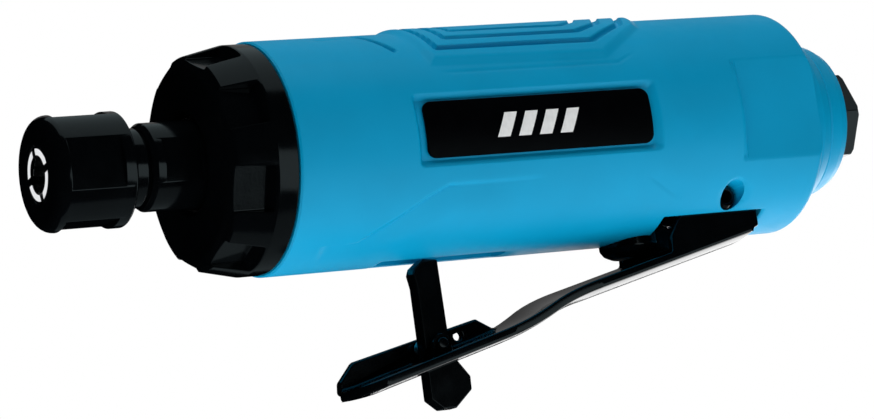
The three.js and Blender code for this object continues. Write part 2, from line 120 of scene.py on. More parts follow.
def apply_modifiers(piece):
    graph = bpy.context.evaluated_depsgraph_get()
    mesh = bpy.data.meshes.new_from_object(piece.evaluated_get(graph))
    piece.modifiers.clear()
    piece.data = mesh


def combine(piece, other, operation="DIFFERENCE"):
    """Cuts other out of piece, joins it on, or keeps what both share."""
    step = piece.modifiers.new("combine", "BOOLEAN")
    step.operation = operation
    step.solver = "MANIFOLD"
    step.object = other
    apply_modifiers(piece)
    bpy.data.objects.remove(other)
    return piece


def weld(piece, distance=0.004):
    shape = bmesh.new()
    shape.from_mesh(piece.data)
    bmesh.ops.remove_doubles(shape, verts=shape.verts, dist=distance)
    bmesh.ops.dissolve_degenerate(shape, edges=shape.edges, dist=distance)
    shape.to_mesh(piece.data)
    shape.free()


def soften(piece, width, steps=3, angle=30):
    """Rounds every edge that is sharper than angle."""
    weld(piece)
    bevel = piece.modifiers.new("soften", "BEVEL")
    bevel.width = width
    bevel.segments = steps
    bevel.limit_method = "ANGLE"
    bevel.angle_limit = math.radians(angle)
    bevel.use_clamp_overlap = False
    bevel.miter_outer = "MITER_ARC"
    apply_modifiers(piece)
    return piece


def moved(piece, matrix):
    piece.data.transform(matrix)
    return piece


def turn_x(degrees):
    return Matrix.Rotation(math.radians(degrees), 4, "X")


def rounded(corners, closed=True, steps=5):
    """Turns corners (u, v) or (u, v, radius) into points, with an arc at each corner that has a radius."""
    points = []
    count = len(corners)
    for i, corner in enumerate(corners):
        here = np.array(corner[:2], float)
        radius = corner[2] if len(corner) > 2 else 0.0
        if radius == 0 or (not closed and i in (0, count - 1)):
            points.append(tuple(here))
            continue
        back = np.array(corners[i - 1][:2], float) - here
        ahead = np.array(corners[(i + 1) % count][:2], float) - here
        room = 0.49 * min(np.linalg.norm(back), np.linalg.norm(ahead))
        back /= np.linalg.norm(back)
        ahead /= np.linalg.norm(ahead)
        half = math.acos(np.clip(back @ ahead, -1, 1)) / 2
        reach = min(radius / math.tan(half), room)
        size = reach * math.tan(half)
        middle = here + (back + ahead) / np.linalg.norm(back + ahead) * size / math.sin(half)
        first = here + back * reach - middle
        last = here + ahead * reach - middle
        start = math.atan2(first[1], first[0])
        sweep = (math.atan2(last[1], last[0]) - start + math.pi) % (2 * math.pi) - math.pi
        for k in range(steps + 1):
            turn = start + sweep * k / steps
            points.append((middle[0] + size * math.cos(turn), middle[1] + size * math.sin(turn)))
    return points


def turned(name, corners, segments=144, steps=5):
    """A piece turned about the x axis from its section's corners (station, radius, rounding)."""
    open_section = corners[0][1] == 0
    section = rounded(corners, closed=not open_section, steps=steps)
    points = []
    rings = []
    for station, radius in section:
        if radius == 0:
            rings.append([len(points)] * segments)
            points.append((station, 0.0, 0.0))
            continue
        rings.append([len(points) + k for k in range(segments)])
        for k in range(segments):
            turn = 2 * math.pi * k / segments
            points.append((station, -radius * math.cos(turn), radius * math.sin(turn)))
    faces = []
    pairs = list(zip(rings, rings[1:]))
    if not open_section:
        pairs.append((rings[-1], rings[0]))
    for one, two in pairs:
        for k in range(segments):
            after = (k + 1) % segments
            face = list(dict.fromkeys((one[k], one[after], two[after], two[k])))
            if len(face) > 2:
                faces.append(face)
    return new_piece(name, points, faces)


def ring_section(start, end, inner, outer, edge=0.15):
    return [(start, inner, edge), (start, outer, edge), (end, outer, edge), (end, inner, edge)]


def rod(name, start, end, radius, segments=48, edge=0.0):
    return turned(name, [(start, 0), (start, radius, edge), (end, radius, edge), (end, 0)], segments)


def prism(name, outline, low, high, along):
    """An outline pushed from low to high: along "y" its points are (x, z), "z" (x, y), "x" (y, z)."""
    place = {
        "y": lambda u, v, w: (u, w, v),
        "z": lambda u, v, w: (u, v, w),
        "x": lambda u, v, w: (w, u, v),
    }[along]
    count = len(outline)
    points = [place(u, v, low) for u, v in outline] + [place(u, v, high) for u, v in outline]
    faces = [range(count), range(count, 2 * count)]
    for i in range(count):
        after = (i + 1) % count
        faces.append((i, after, count + after, count + i))
    return new_piece(name, points, faces)


def box_piece(name, x, y, z):
    outline = [(x[0], y[0]), (x[1], y[0]), (x[1], y[1]), (x[0], y[1])]
    return prism(name, outline, z[0], z[1], "z")


def circle(u, v, radius, count=48):
    return [
        (u + radius * math.cos(2 * math.pi * k / count), v + radius * math.sin(2 * math.pi * k / count))
        for k in range(count)
    ]


def curve_points(start, control, end, steps=10):
    """A quadratic curve without its first point."""
    start, control, end = (np.array(p, float) for p in (start, control, end))
    found = []
    for k in range(1, steps + 1):
        t = k / steps
        found.append(tuple((1 - t) ** 2 * start + 2 * t * (1 - t) * control + t * t * end))
    return found


def swept(name, path, radius, sides=10):
    """A round wire with rounded ends along a list of points."""
    path = [Vector(p) for p in path]
    points = []
    faces = []
    side = (path[1] - path[0]).orthogonal().normalized()
    rings = []
    ends = [(0.0, 0.92), (0.45, 0.7), (0.8, 0.35)]
    stops = [(path[0], path[1] - path[0], -shift, share) for share, shift in ends]
    for i, point in enumerate(path):
        run = path[min(i + 1, len(path) - 1)] - path[max(i - 1, 0)]
        stops.append((point, run, 0.0, 1.0))
    stops += [(path[-1], path[-1] - path[-2], shift, share) for share, shift in reversed(ends)]
    for point, run, shift, share in stops:
        along = run.normalized()
        side = (side - along * side.dot(along)).normalized()
        other = along.cross(side)
        centre = point + along * radius * shift
        if share == 0:
            rings.append([len(points)] * sides)
            points.append(centre)
            continue
        rings.append([len(points) + k for k in range(sides)])
        for k in range(sides):
            turn = 2 * math.pi * k / sides
            points.append(centre + radius * share * (side * math.cos(turn) + other * math.sin(turn)))
    for one, two in zip(rings, rings[1:]):
        for k in range(sides):
            after = (k + 1) % sides
            face = list(dict.fromkeys((one[k], one[after], two[after], two[k])))
            if len(face) > 2:
                faces.append(face)
    return new_piece(name, points, faces)


def merged(name, pieces):
    """Several separate solids as one piece."""
    points = []
    faces = []
    for piece in pieces:
        first = len(points)
        points += [v.co.copy() for v in piece.data.vertices]
        faces += [[first + i for i in p.vertices] for p in piece.data.polygons]
        bpy.data.objects.remove(piece)
    return new_piece(name, points, faces)


def place(piece, node, body, slot, material, sharp=38, level=True):
    """Shades a finished piece, puts it in the row frame and lets it stand for its CAD node."""
    piece.data.transform(Matrix.Translation(TOOL_ORIGIN) @ Matrix.Scale(MM, 4))
    piece.data.shade_smooth()
    piece.data.set_sharp_from_angle(angle=math.radians(sharp))
    if level:
        weighted = piece.modifiers.new("level", "WEIGHTED_NORMAL")
        weighted.keep_sharp = True
        apply_modifiers(piece)
    piece.data.materials.clear()
    piece.data.materials.append(material)
    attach(piece, body)
    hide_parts(node)
    return piece


# ---------- materials ----------
class Nodes:
    """One material's node tree, with short ways to add to it. Patterns sit in object space, in metres."""

    def __init__(self, name, colour, roughness, metallic=0.0):
        self.material = bpy.data.materials.new(name)
        self.material.use_nodes = True
        self.tree = self.material.node_tree
        self.surface = self.tree.nodes["Principled BSDF"]
        self.set("Base Color", (*colour, 1.0))
        self.set("Roughness", roughness)
        self.set("Metallic", metallic)
        self.space = self.add("ShaderNodeTexCoord").outputs["Object"]

    def add(self, kind):
        return self.tree.nodes.new(kind)

    def set(self, socket, value):
        self.surface.inputs[socket].default_value = value

    def link(self, source, target):
        self.tree.links.new(source, target)

    def noise(self, scale, detail=3.0, stretch=(1.0, 1.0, 1.0)):
        """Noise of so many cells a metre, squeezed along each axis by stretch."""
        mapping = self.add("ShaderNodeMapping")
        mapping.inputs["Scale"].default_value = stretch
        self.link(self.space, mapping.inputs["Vector"])
        noise = self.add("ShaderNodeTexNoise")
        noise.inputs["Scale"].default_value = scale
        noise.inputs["Detail"].default_value = detail
        self.link(mapping.outputs["Vector"], noise.inputs["Vector"])
        return noise.outputs["Fac"]

    def spread(self, value, low, high, start=0.3, end=0.7):
        """Maps a 0 to 1 value to low to high."""
        spread = self.add("ShaderNodeMapRange")
        spread.inputs["From Min"].default_value = start
        spread.inputs["From Max"].default_value = end
        spread.inputs["To Min"].default_value = low
        spread.inputs["To Max"].default_value = high
        self.link(value, spread.inputs["Value"])
        return spread.outputs["Result"]

    def blend(self, share, one, two):
        """Colour one where share is 0 and colour two where it is 1."""
        mix = self.add("ShaderNodeMix")
        mix.data_type = "RGBA"
        mix.inputs["A"].default_value = (*one, 1.0)
        mix.inputs["B"].default_value = (*two, 1.0)
        self.link(share, mix.inputs["Factor"])
        return mix.outputs["Result"]

    def colour(self, source):
        self.link(source, self.surface.inputs["Base Color"])

    def rough(self, source):
        self.link(source, self.surface.inputs["Roughness"])

    def bump(self, height, distance, strength=1.0):
        bump = self.add("ShaderNodeBump")
        bump.inputs["Distance"].default_value = distance
        bump.inputs["Strength"].default_value = strength
        self.link(height, bump.inputs["Height"])
        self.link(bump.outputs["Normal"], self.surface.inputs["Normal"])


def shade(colour, factor):
    return tuple(min(1.0, channel * factor) for channel in colour)


def blue_plastic():
    """Satin moulded shell: a fine spark-eroded grain and slightly uneven gloss."""
    blue = (0.0005, 0.285, 0.52)
    nodes = Nodes("blue_plastic", blue, 0.4)
    nodes.set("Specular IOR Level", 0.12)
    nodes.colour(nodes.blend(nodes.spread(nodes.noise(55), 0, 1), shade(blue, 0.96), shade(blue, 1.05)))
    nodes.rough(nodes.spread(nodes.noise(420), 0.36, 0.44))
    nodes.bump(nodes.noise(5200, 2), 0.000008)
    return nodes.material


def black_plastic():
    """Glossy black moulding with faint flow marks."""
    black = (0.0008, 0.0012, 0.0016)
    nodes = Nodes("black_plastic", black, 0.14)
    nodes.set("Specular IOR Level", 0.42)
    nodes.colour(nodes.blend(nodes.spread(nodes.noise(120), 0, 1), shade(black, 0.85), shade(black, 1.25)))
    nodes.rough(nodes.spread(nodes.noise(300), 0.11, 0.17))
    nodes.bump(nodes.noise(3000, 2), 0.000004)
    return nodes.material


def black_steel():
    """Oil-blackened machined steel: fine turning marks and a smooth dark gloss."""
    black = (0.0008, 0.0012, 0.0016)
    nodes = Nodes("black_steel", black, 0.13)
    nodes.set("Specular IOR Level", 0.5)
    nodes.colour(nodes.blend(nodes.spread(nodes.noise(160), 0, 1), shade(black, 0.8), shade(black, 1.35)))
    nodes.rough(nodes.spread(nodes.noise(260), 0.1, 0.16))
    nodes.bump(nodes.noise(2600, 2, (1.0, 0.15, 0.15)), 0.000004)
    return nodes.material


def polished_chrome():
    nodes = Nodes("polished_chrome", (0.86, 0.87, 0.89), 0.1, 1.0)
    nodes.rough(nodes.spread(nodes.noise(500), 0.07, 0.14))
    nodes.bump(nodes.noise(1800, 2, (1.0, 0.1, 0.1)), 0.000002)
    return nodes.material


def ground_steel():
    """Ground and turned bearing steel, its marks running round the axis."""
    steel = (0.5, 0.51, 0.53)
    nodes = Nodes("ground_steel", steel, 0.3, 1.0)
    marks = nodes.noise(3600, 3, (1.0, 0.04, 0.04))
    nodes.colour(nodes.blend(nodes.spread(marks, 0, 1), shade(steel, 0.85), shade(steel, 1.1)))
    nodes.rough(nodes.spread(nodes.noise(300), 0.24, 0.36))
    nodes.bump(marks, 0.000004)
    return nodes.material


def machined_aluminium():
    """Aluminium housing with coarse turning marks and a dull cast bloom."""
    metal = (0.6, 0.61, 0.63)
    nodes = Nodes("machined_aluminium", metal, 0.4, 1.0)
    marks = nodes.noise(1500, 2, (1.0, 0.03, 0.03))
    nodes.colour(nodes.blend(nodes.spread(nodes.noise(90), 0, 1), shade(metal, 0.8), metal))
    nodes.rough(nodes.spread(nodes.noise(240), 0.32, 0.48))
    nodes.bump(marks, 0.000008)
    return nodes.material


def turned_brass():
    brass = (0.62, 0.43, 0.15)
    nodes = Nodes("turned_brass", brass, 0.3, 1.0)
    marks = nodes.noise(2600, 2, (0.2, 0.2, 1.0))
    nodes.colour(nodes.blend(nodes.spread(nodes.noise(150), 0, 1), shade(brass, 0.8), shade(brass, 1.05)))
    nodes.rough(nodes.spread(marks, 0.25, 0.38))
    nodes.bump(marks, 0.000004)
    return nodes.material


def seal_rubber():
    rubber = (0.014, 0.014, 0.015)
    nodes = Nodes("seal_rubber", rubber, 0.75)
    nodes.colour(nodes.blend(nodes.spread(nodes.noise(700), 0, 1), shade(rubber, 0.7), shade(rubber, 1.5)))
    nodes.rough(nodes.spread(nodes.noise(400), 0.65, 0.85))
    nodes.bump(nodes.noise(4200, 3), 0.00001)
    return nodes.material


def pressed_felt():
    """Pressed wool: crossing fibres in two directions over a soft mottle."""
    felt = (0.13, 0.13, 0.14)
    nodes = Nodes("pressed_felt", felt, 0.95)
    nodes.set("Sheen Weight", 0.35)
    fibres = nodes.noise(5200, 4, (1.0, 0.25, 1.0))
    nodes.colour(nodes.blend(nodes.spread(fibres, 0, 1), shade(felt, 0.55), shade(felt, 1.6)))
    nodes.rough(nodes.spread(nodes.noise(600), 0.88, 1.0))
    nodes.bump(fibres, 0.00006)
    return nodes.material


def vane_laminate():
    """Woven cloth and resin laminate, cut so that its layers show as streaks."""
    resin = (0.16, 0.075, 0.03)
    nodes = Nodes("vane_laminate", resin, 0.6)
    layers = nodes.noise(3000, 3, (0.05, 1.0, 1.0))
    nodes.colour(nodes.blend(nodes.spread(layers, 0, 1), shade(resin, 0.65), shade(resin, 1.5)))
    nodes.rough(nodes.spread(nodes.noise(500), 0.5, 0.72))
    nodes.bump(layers, 0.00001)
    return nodes.material


def label_film():
    """Glossy black printed film."""
    black = (0.0004, 0.0005, 0.0008)
    nodes = Nodes("label_film", black, 0.35)
    nodes.set("Specular IOR Level", 0.08)
    nodes.colour(nodes.blend(nodes.spread(nodes.noise(200), 0, 1), shade(black, 0.8), shade(black, 1.3)))
    nodes.rough(nodes.spread(nodes.noise(350), 0.3, 0.4))
    nodes.bump(nodes.noise(2400, 2), 0.000003)
    return nodes.material


def white_print():
    """Screen-printed white ink, slightly uneven at its surface."""
    white = (0.78, 0.8, 0.8)
    nodes = Nodes("white_print", white, 0.45)
    nodes.colour(nodes.blend(nodes.spread(nodes.noise(900), 0, 1), shade(white, 0.93), shade(white, 1.04)))
    nodes.rough(nodes.spread(nodes.noise(700), 0.4, 0.55))
    nodes.bump(nodes.noise(6000, 2), 0.000004)
    return nodes.material


def pale_floor():
    pale = (0.86, 0.86, 0.86)
    nodes = Nodes("pale_floor", pale, 0.8)
    nodes.colour(nodes.blend(nodes.spread(nodes.noise(6), 0, 1), shade(pale, 0.99), shade(pale, 1.0)))
    return nodes.material


BLUE = blue_plastic()
BLACK = black_plastic()
BLACK_STEEL = black_steel()
CHROME = polished_chrome()
STEEL = ground_steel()
ALUMINIUM = machined_aluminium()
BRASS = turned_brass()
RUBBER = seal_rubber()
FELT = pressed_felt()
VANE = vane_laminate()
FILM = label_film()
PRINT = white_print()


# ---------- grip sleeve ----------
def grid_lines(*runs):
    """Grid lines from runs of (first, last, spacing) that follow each other."""
    parts = [np.linspace(a, b, max(1, round((b - a) / step)), endpoint=False) for a, b, step in runs]
    return np.concatenate([*parts, [runs[-1][1]]])


def ease(value):
    """A smooth step from 0 to 1."""
    value = np.clip(value, 0, 1)
    return value * value * (3 - 2 * value)


def ramp(value, soft=0.18):
    """A straight slope from 0 to 1 with short soft ends."""
    straight = np.clip(value, 0, 1)
    return (1 - soft) * straight + soft * ease(value)


def outline_distance(x, v, corners):
    """Distance from (x, v) to a closed outline, negative inside it."""
    nearest = np.full(x.shape, np.inf)
    inside = np.zeros(x.shape, bool)
    for (ax, av), (bx, bv) in zip(corners, corners[1:] + corners[:1]):
        ex, ev = bx - ax, bv - av
        share = np.clip(((x - ax) * ex + (v - av) * ev) / (ex * ex + ev * ev), 0, 1)
        nearest = np.minimum(nearest, np.hypot(x - ax - share * ex, v - av - share * ev))
        crosses = (av > v) != (bv > v)
        reach = ax + (v - av) * ex / (ev if ev else 1e-9)
        inside ^= crosses & (x < reach)
    return np.where(inside, -nearest, nearest)


def line_distance(x, v, points):
    """Distance to an open line, the side it is on (+1 to its right) and how far along it is."""
    nearest = np.full(x.shape, np.inf)
    side = np.ones(x.shape)
    along = np.zeros(x.shape)
    total = sum(math.dist(a, b) for a, b in zip(points, points[1:]))
    run = 0.0
    for (ax, av), (bx, bv) in zip(points, points[1:]):
        ex, ev = bx - ax, bv - av
        length = math.hypot(ex, ev)
        share = np.clip(((x - ax) * ex + (v - av) * ev) / length**2, 0, 1)
        gap = np.hypot(x - ax - share * ex, v - av - share * ev)
        closer = gap < nearest
        nearest = np.where(closer, gap, nearest)
        side = np.where(closer, np.sign((v - av) * ex - (x - ax) * ev) * -1, side)
        along = np.where(closer, (run + share * length) / total, along)
        run += length
    return nearest, side, along


def box_distance(x, v, start, end, half, corner):
    """Distance to a rounded rectangle centred on v = 0, negative inside it."""
    across = np.abs(x - (start + end) / 2) - (end - start) / 2 + corner
    up = np.abs(v) - half + corner
    outside = np.hypot(np.maximum(across, 0), np.maximum(up, 0))
    return outside + np.minimum(np.maximum(across, up), 0) - corner


ARC = math.pi / 180 * BODY_R       # length of one degree round the body


def from_top(points):
    """Places (x, angle) as (x, distance round the body from the top line), with the mirrored side added."""
    near = [(x, (90 - angle) * ARC) for x, angle in points]
    far = [(x, -v) for x, v in reversed(near) if v > 0]
    return near + far


PANEL_OUTLINE = [
    (28.9, 90), (29.2, 66), (29.8, 44), (30.6, 34.8), (67.6, 33), (74.7, 46.9), (79.4, 57.4), (84, 90),
]
GROOVES = [
    [(32.4, 90), (32.1, 67.6), (33.2, 45.6), (66.6, 45.2), (75.6, 60.6), (81, 90)],
    [(35.9, 90), (35.9, 71), (36.6, 54.8), (65, 54.5), (71, 63), (76.5, 90)],
    [(38.8, 90), (38.8, 76), (39.6, 64), (63.2, 63.4), (67.2, 70), (71.5, 90)],
]
GROOVE_DEPTH = [0.95, 0.85, 0.75]
GROOVE_HALF = [0.85, 0.8, 0.7]
PANEL_SHADOW_LINE = [(30.5, 29.6), (69.5, 29.6), (75, 37)]
FRONT_CREASE = [(20.8, 72), (22.4, 64.6), (25.6, 46.2)]
FRONT_CREASE_FAINT = [(11, 66), (19.5, 67)]
LOWER_LINE = [(6.4, -58.6), (14.1, -58.7), (16.4, -53.1), (25.6, -34.8), (30.4, -28), (50, -27.9)]
REAR_LINE = [(71.9, -31.1), (81, -48)]


def side_degrees(angle):
    """Folds the far side's angles on to the near side's, so both sides carry the same shapes."""
    return np.where(np.abs(angle) > 90, np.sign(angle) * 180 - angle, angle)


def groove(distance, half, depth):
    """A round-bottomed groove: depth at its middle line, nothing beyond half its width."""
    return depth * (1 - ease((distance - half * 0.35) / (half * 0.65)))


def sleeve_radius(x, angle):
    """The sleeve's outside radius at stations x and angles in degrees."""
    fold = side_degrees(angle)
    from_crown = (90 - fold) * ARC
    mirrored_top = np.where(np.abs(angle) > 90, -from_crown, from_crown)
    v = fold * ARC

    radius = np.full(x.shape, BODY_R)
    tail = np.clip((x - (BODY_END - SLEEVE_EDGE)) / SLEEVE_EDGE, 0, 1)
    radius -= SLEEVE_EDGE * (1 - np.sqrt(np.maximum(0, 1 - tail**2)))
    radius -= 0.3 * (1 - ease((x - GAP) / 0.35))

    rise = outline_distance(x, mirrored_top, from_top(PANEL_OUTLINE))
    radius += PANEL_RISE * ramp((0.2 - rise) / 1.9, 0.7)
    for points, depth, half in zip(GROOVES, GROOVE_DEPTH, GROOVE_HALF):
        radius -= groove(np.abs(outline_distance(x, mirrored_top, from_top(points))), half, depth)

    def open_line(points, fade):
        gap, side, along = line_distance(x, v, [(px, a * ARC) for px, a in points])
        ends = ease(along / fade) * ease((1 - along) / fade)
        return gap, side, ends, along

    gap, _, ends, _ = open_line(PANEL_SHADOW_LINE, 0.12)
    radius -= groove(gap, 0.45, 0.16) * ends
    gap, _, ends, _ = open_line(FRONT_CREASE, 0.12)
    radius -= groove(gap, 0.7, 1.0) * ends
    gap, _, ends, _ = open_line(FRONT_CREASE_FAINT, 0.3)
    radius -= groove(gap, 0.7, 0.14) * ends
    gap, side, ends, along = open_line(LOWER_LINE, 0.04)
    step = np.where(side > 0, ease(gap / 0.3) * (1 - ease(gap / 6.0)), 0)
    radius -= 0.45 * step * ends * (1 - 0.75 * ease((along - 0.55) / 0.45))
    cut = ease((along - 0.1) / 0.08) * (1 - 0.6 * ease((along - 0.5) / 0.5))
    radius -= groove(gap, 0.4, 0.3) * ends * cut
    gap, side, ends, along = open_line(REAR_LINE, 0.3)
    radius -= 0.16 * np.where(side < 0, ease(gap / 0.4) * (1 - ease(gap / 4.0)), 0) * ends

    recess = box_distance(x, v, RECESS["start"], RECESS["end"], RECESS["half"], RECESS["corner"])
    wall = RECESS["wall"] + (RECESS["end_wall"] - RECESS["wall"]) * ease(x - LABEL["end"] + 0.5)
    radius -= (BODY_R - RECESS["floor"]) * ramp(-recess / wall, 0.3)

    flat = FLAT_Y / np.maximum(np.cos(np.radians(fold)), 1e-3)
    behind = ease((x - FLAT_START + 0.45) / 0.75)
    radius = radius + (np.minimum(radius, flat) - radius) * behind
    radius -= groove(np.abs(x - FLAT_START + 0.5), 0.5, 0.4) * ease((BODY_R - flat) / 0.4)

    y = -radius * np.cos(np.radians(angle))
    z = radius * np.sin(np.radians(angle))
    rim = 0.4

    def eased_edge(distance):
        return 0.32 * np.clip(1 - distance / rim, 0, 1) ** 2

    slot_x = np.abs(x - (SLOT["start"] + SLOT["end"]) / 2) - (SLOT["end"] - SLOT["start"]) / 2
    slot = np.hypot(np.maximum(slot_x, 0), np.maximum(np.abs(y) - SLOT["half"], 0))
    radius -= np.where(z < 0, eased_edge(slot), 0)
    pocket_x = np.abs(x - (POCKET["start"] + POCKET["end"]) / 2) - (POCKET["end"] - POCKET["start"]) / 2
    pocket = np.hypot(np.maximum(pocket_x, 0), np.maximum(np.abs(y) - POCKET["half"], 0))
    radius -= np.where(z < 0, eased_edge(pocket), 0)
    hole = np.maximum(np.hypot(x - PIVOT.x, z - PIVOT.z) - (LEVER_PIN_R + GAP), 0)
    radius -= eased_edge(hole)
    return radius


def sleeve_shell():
    """The sleeve before its slot, pocket and holes are cut: a fine net of stations and angles."""
    flat_edge = math.degrees(math.acos(FLAT_Y / BODY_R))
    tail = [BODY_END - SLEEVE_EDGE + SLEEVE_EDGE * math.sin(math.pi / 2 * k / 9) for k in range(1, 10)]
    stations = grid_lines(
        (GAP, 0.75, 0.11), (0.75, 5.5, 1.2), (5.5, 20, 0.45), (20, 41, 0.24), (41, 61.8, 1.3),
        (61.8, 84.6, 0.28),
        (84.6, 90, 0.9), (90, 93.6, 0.3), (93.6, 95, 0.12), (95, 100.4, 1.2), (100.4, 102, 0.3),
        (102, BODY_END - SLEEVE_EDGE, 1.4),
    )
    stations = np.concatenate([stations, tail])
    near = grid_lines(
        (-90, -64, 2.2), (-64, -57, 0.6), (-57, -flat_edge, 0.9), (-flat_edge, -20, 1.1), (-20, -14.6, 0.4),
        (-14.6, 14.6, 2.4), (14.6, 20, 0.4), (20, flat_edge, 1.1), (flat_edge, 44, 0.8),
        (44, 78, 0.6), (78, 90, 0.8),
    )
    angles = np.concatenate([near, 180 - near[::-1][1:-1]])
    x, angle = np.meshgrid(stations, angles, indexing="ij")
    radius = sleeve_radius(x, np.where(angle > 180, angle - 360, angle))
    turn = np.radians(angle)
    outside = np.stack([x, -radius * np.cos(turn), radius * np.sin(turn)], -1).reshape(-1, 3)
    rows, columns = x.shape
    bore = [
        (station, -SLEEVE_BORE_R * math.cos(t), SLEEVE_BORE_R * math.sin(t))
        for station in (BODY_END, GAP)
        for t in np.radians(angles)
    ]
    points = np.concatenate([outside, np.array(bore)])
    faces = []
    for i in range(rows + 2):
        one = i * columns
        two = (i + 1) % (rows + 2) * columns
        for k in range(columns):
            after = (k + 1) % columns
            faces.append((one + k, one + after, two + after, two + k))
    return new_piece("sleeve_shell", points, faces)


def grip_sleeve():
    sleeve = sleeve_shell()
    low = -BODY_R - 4
    slot_outline = rounded([
        (SLOT["start"], -SLOT["half"], 0.8), (SLOT["end"], -SLOT["half"], 0.8),
        (SLOT["end"], SLOT["half"], 0.8), (SLOT["start"], SLOT["half"], 0.8),
    ])
    combine(sleeve, prism("slot", slot_outline, low, SLOT["top"], "z"))
    combine(sleeve, prism("button_hole", circle(VALVE_X, 0, BUTTON_R + 0.35, 72), low, -12, "z"))
    combine(sleeve, prism("pin_hole", circle(PIVOT.x, PIVOT.z, LEVER_PIN_R + GAP, 56), low, -low, "y"))
    pocket_outline = rounded([
        (POCKET["start"], -POCKET["half"], 1.2), (POCKET["end"], -POCKET["half"], 1.2),
        (POCKET["end"], POCKET["half"], 1.2), (POCKET["start"], POCKET["half"], 1.2),
    ])
    combine(sleeve, prism("pocket", pocket_outline, low, -POCKET["floor"], "z"))
    weld(sleeve, 0.002)
    place(sleeve, "grip_sleeve", "housing", "blue_shell", BLUE, 42, level=False)


# ---------- label plates ----------
def wrapped(points, side):
    """Puts flat places (x, distance round, radius) on the body's near (-1) or far (1) side."""
    found = []
    for x, v, radius in points:
        turn = v / BODY_R
        found.append((x, side * radius * math.cos(turn), radius * math.sin(turn)))
    return found


def label_rungs(inset, radius, levels=28):
    """Cross lines of the plate's rounded outline, from its lower to its upper edge."""
    half = LABEL["half"] - inset
    corner = LABEL["corner"] - inset
    rungs = []
    for k in range(levels + 1):
        v = -half * math.cos(math.pi * k / levels)
        over = max(0.0, abs(v) - (half - corner))
        pull = corner - math.sqrt(max(0.0, corner**2 - over**2))
        rungs.append([(LABEL["start"] + inset + pull, v, radius), (LABEL["end"] - inset - pull, v, radius)])
    return rungs


def label_plate(side, node):
    """A thin curved plate with a softened rim."""
    top = LABEL["top"]
    layers = [(0.0, LABEL["bottom"]), (0.0, top - 0.18), (0.06, top - 0.05), (0.2, top)]
    stacks = [label_rungs(inset, radius) for inset, radius in layers]
    levels = len(stacks[0])
    points = []
    for stack in stacks:
        for rung in stack:
            points += wrapped(rung, side)

    def at(layer, level, end):
        return (layer * levels + level) * 2 + end

    faces = []
    for level in range(levels - 1):
        for layer in (0, len(layers) - 1):
            faces.append((
                at(layer, level, 0), at(layer, level, 1), at(layer, level + 1, 1), at(layer, level + 1, 0),
            ))
        for layer in range(len(layers) - 1):
            for end in (0, 1):
                faces.append((
                    at(layer, level, end), at(layer, level + 1, end),
                    at(layer + 1, level + 1, end), at(layer + 1, level, end),
                ))
    for layer in range(len(layers) - 1):
        for level in (0, levels - 1):
            above = layer + 1
            faces.append((at(layer, level, 0), at(layer, level, 1), at(above, level, 1), at(above, level, 0)))
    plate = new_piece(f"{node}_film", points, faces)
    place(plate, node, "housing", "label", FILM, 50)


def label_mark(side, name):
    """A plain mark in white ink: four slanted bars, with no letters."""
    low, high = LABEL["top"] - 0.05, LABEL["top"] + 0.05
    middle = (LABEL["start"] + LABEL["end"]) / 2
    bars = []
    levels = 6
    for i in range(4):
        start = middle - 8.4 + 4.4 * i
        points = []
        for radius in (low, high):
            for k in range(levels + 1):
                v = -2.3 + 4.6 * k / levels
                slant = 0.45 * v
                points += wrapped([(start + slant, v, radius), (start + 2.6 + slant, v, radius)], side)
        count = levels + 1

        def at(layer, level, end):
            return (layer * count + level) * 2 + end

        faces = []
        for k in range(levels):
            for layer in (0, 1):
                faces.append((at(layer, k, 0), at(layer, k, 1), at(layer, k + 1, 1), at(layer, k + 1, 0)))
            for end in (0, 1):
                faces.append((at(0, k, end), at(0, k + 1, end), at(1, k + 1, end), at(1, k, end)))
        for k in (0, levels):
            faces.append((at(0, k, 0), at(0, k, 1), at(1, k, 1), at(1, k, 0)))
        bars.append(new_piece("bar", points, faces))
    mark = merged(name, bars)
    mark.data.transform(Matrix.Translation(TOOL_ORIGIN) @ Matrix.Scale(MM, 4))
    mark.data.materials.append(PRINT)
    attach(mark, "housing")


# ---------- front cap ----------
def front_cap():
    """Castellated screw cap with eight flat-floored pockets round its edge."""
    cap = turned("cap_casting", [
        (CAP_FRONT + 0.7, 8.7, 0.2), (CAP_FRONT, 9.4, 0.25), (CAP_FRONT, 17.3, 0.5),
        (CAP_FRONT + 1.1, 19.5, 0.6),
        (*CAP_RIM, 0.6), (0, CAP_RIM[1], 0.2), (0, SLEEVE_BORE_R), (-6.9, SLEEVE_BORE_R), (-6.9, 12.6),
        (-8.6, 12.6), (-8.6, 8.7),
    ], 180, 4)
    floor = 18.4
    outline = [(CAP_FRONT - 1, floor), (-5.2, floor), (-3.6, 22.5), (CAP_FRONT - 1, 22.5)]
    for i in range(8):
        pocket = prism("pocket", outline, -4.2, 4.2, "y")
        combine(cap, moved(pocket, turn_x(45 * i + 24)))
    soften(cap, 0.22, 2)
    place(cap, "front_cap", "housing", "black_cap", BLACK)


# ---------- chuck ----------
def collet_nut():
    edge = 2.4
    nut = turned("chuck_nut", [
        (NUT_FRONT + 0.3, 5.1), (NUT_FRONT, 5.3, 0.1), (NUT_FRONT, NUT_R, edge), (NUT_BACK, NUT_R, 0.5),
        (NUT_BACK, 7, 0.2), (-37, 7), (-38.5, 5.6), (-38.6, 5.1),
    ], 160, 8)
    for i in range(4):
        flat = box_piece("flat", (-38.6, -28.4), (NUT_FLAT, NUT_FLAT + 4), (-8, 8))
        combine(nut, moved(flat, turn_x(90 * i)))
    ring_line = turned("ring_line", ring_section(NUT_FRONT - 1, NUT_FRONT + 0.12, 5.75, 5.95, 0.0), 160)
    combine(nut, ring_line)
    soften(nut, 0.1, 2)
    place(nut, "collet_nut", "collet_nut", "black_steel", BLACK_STEEL)


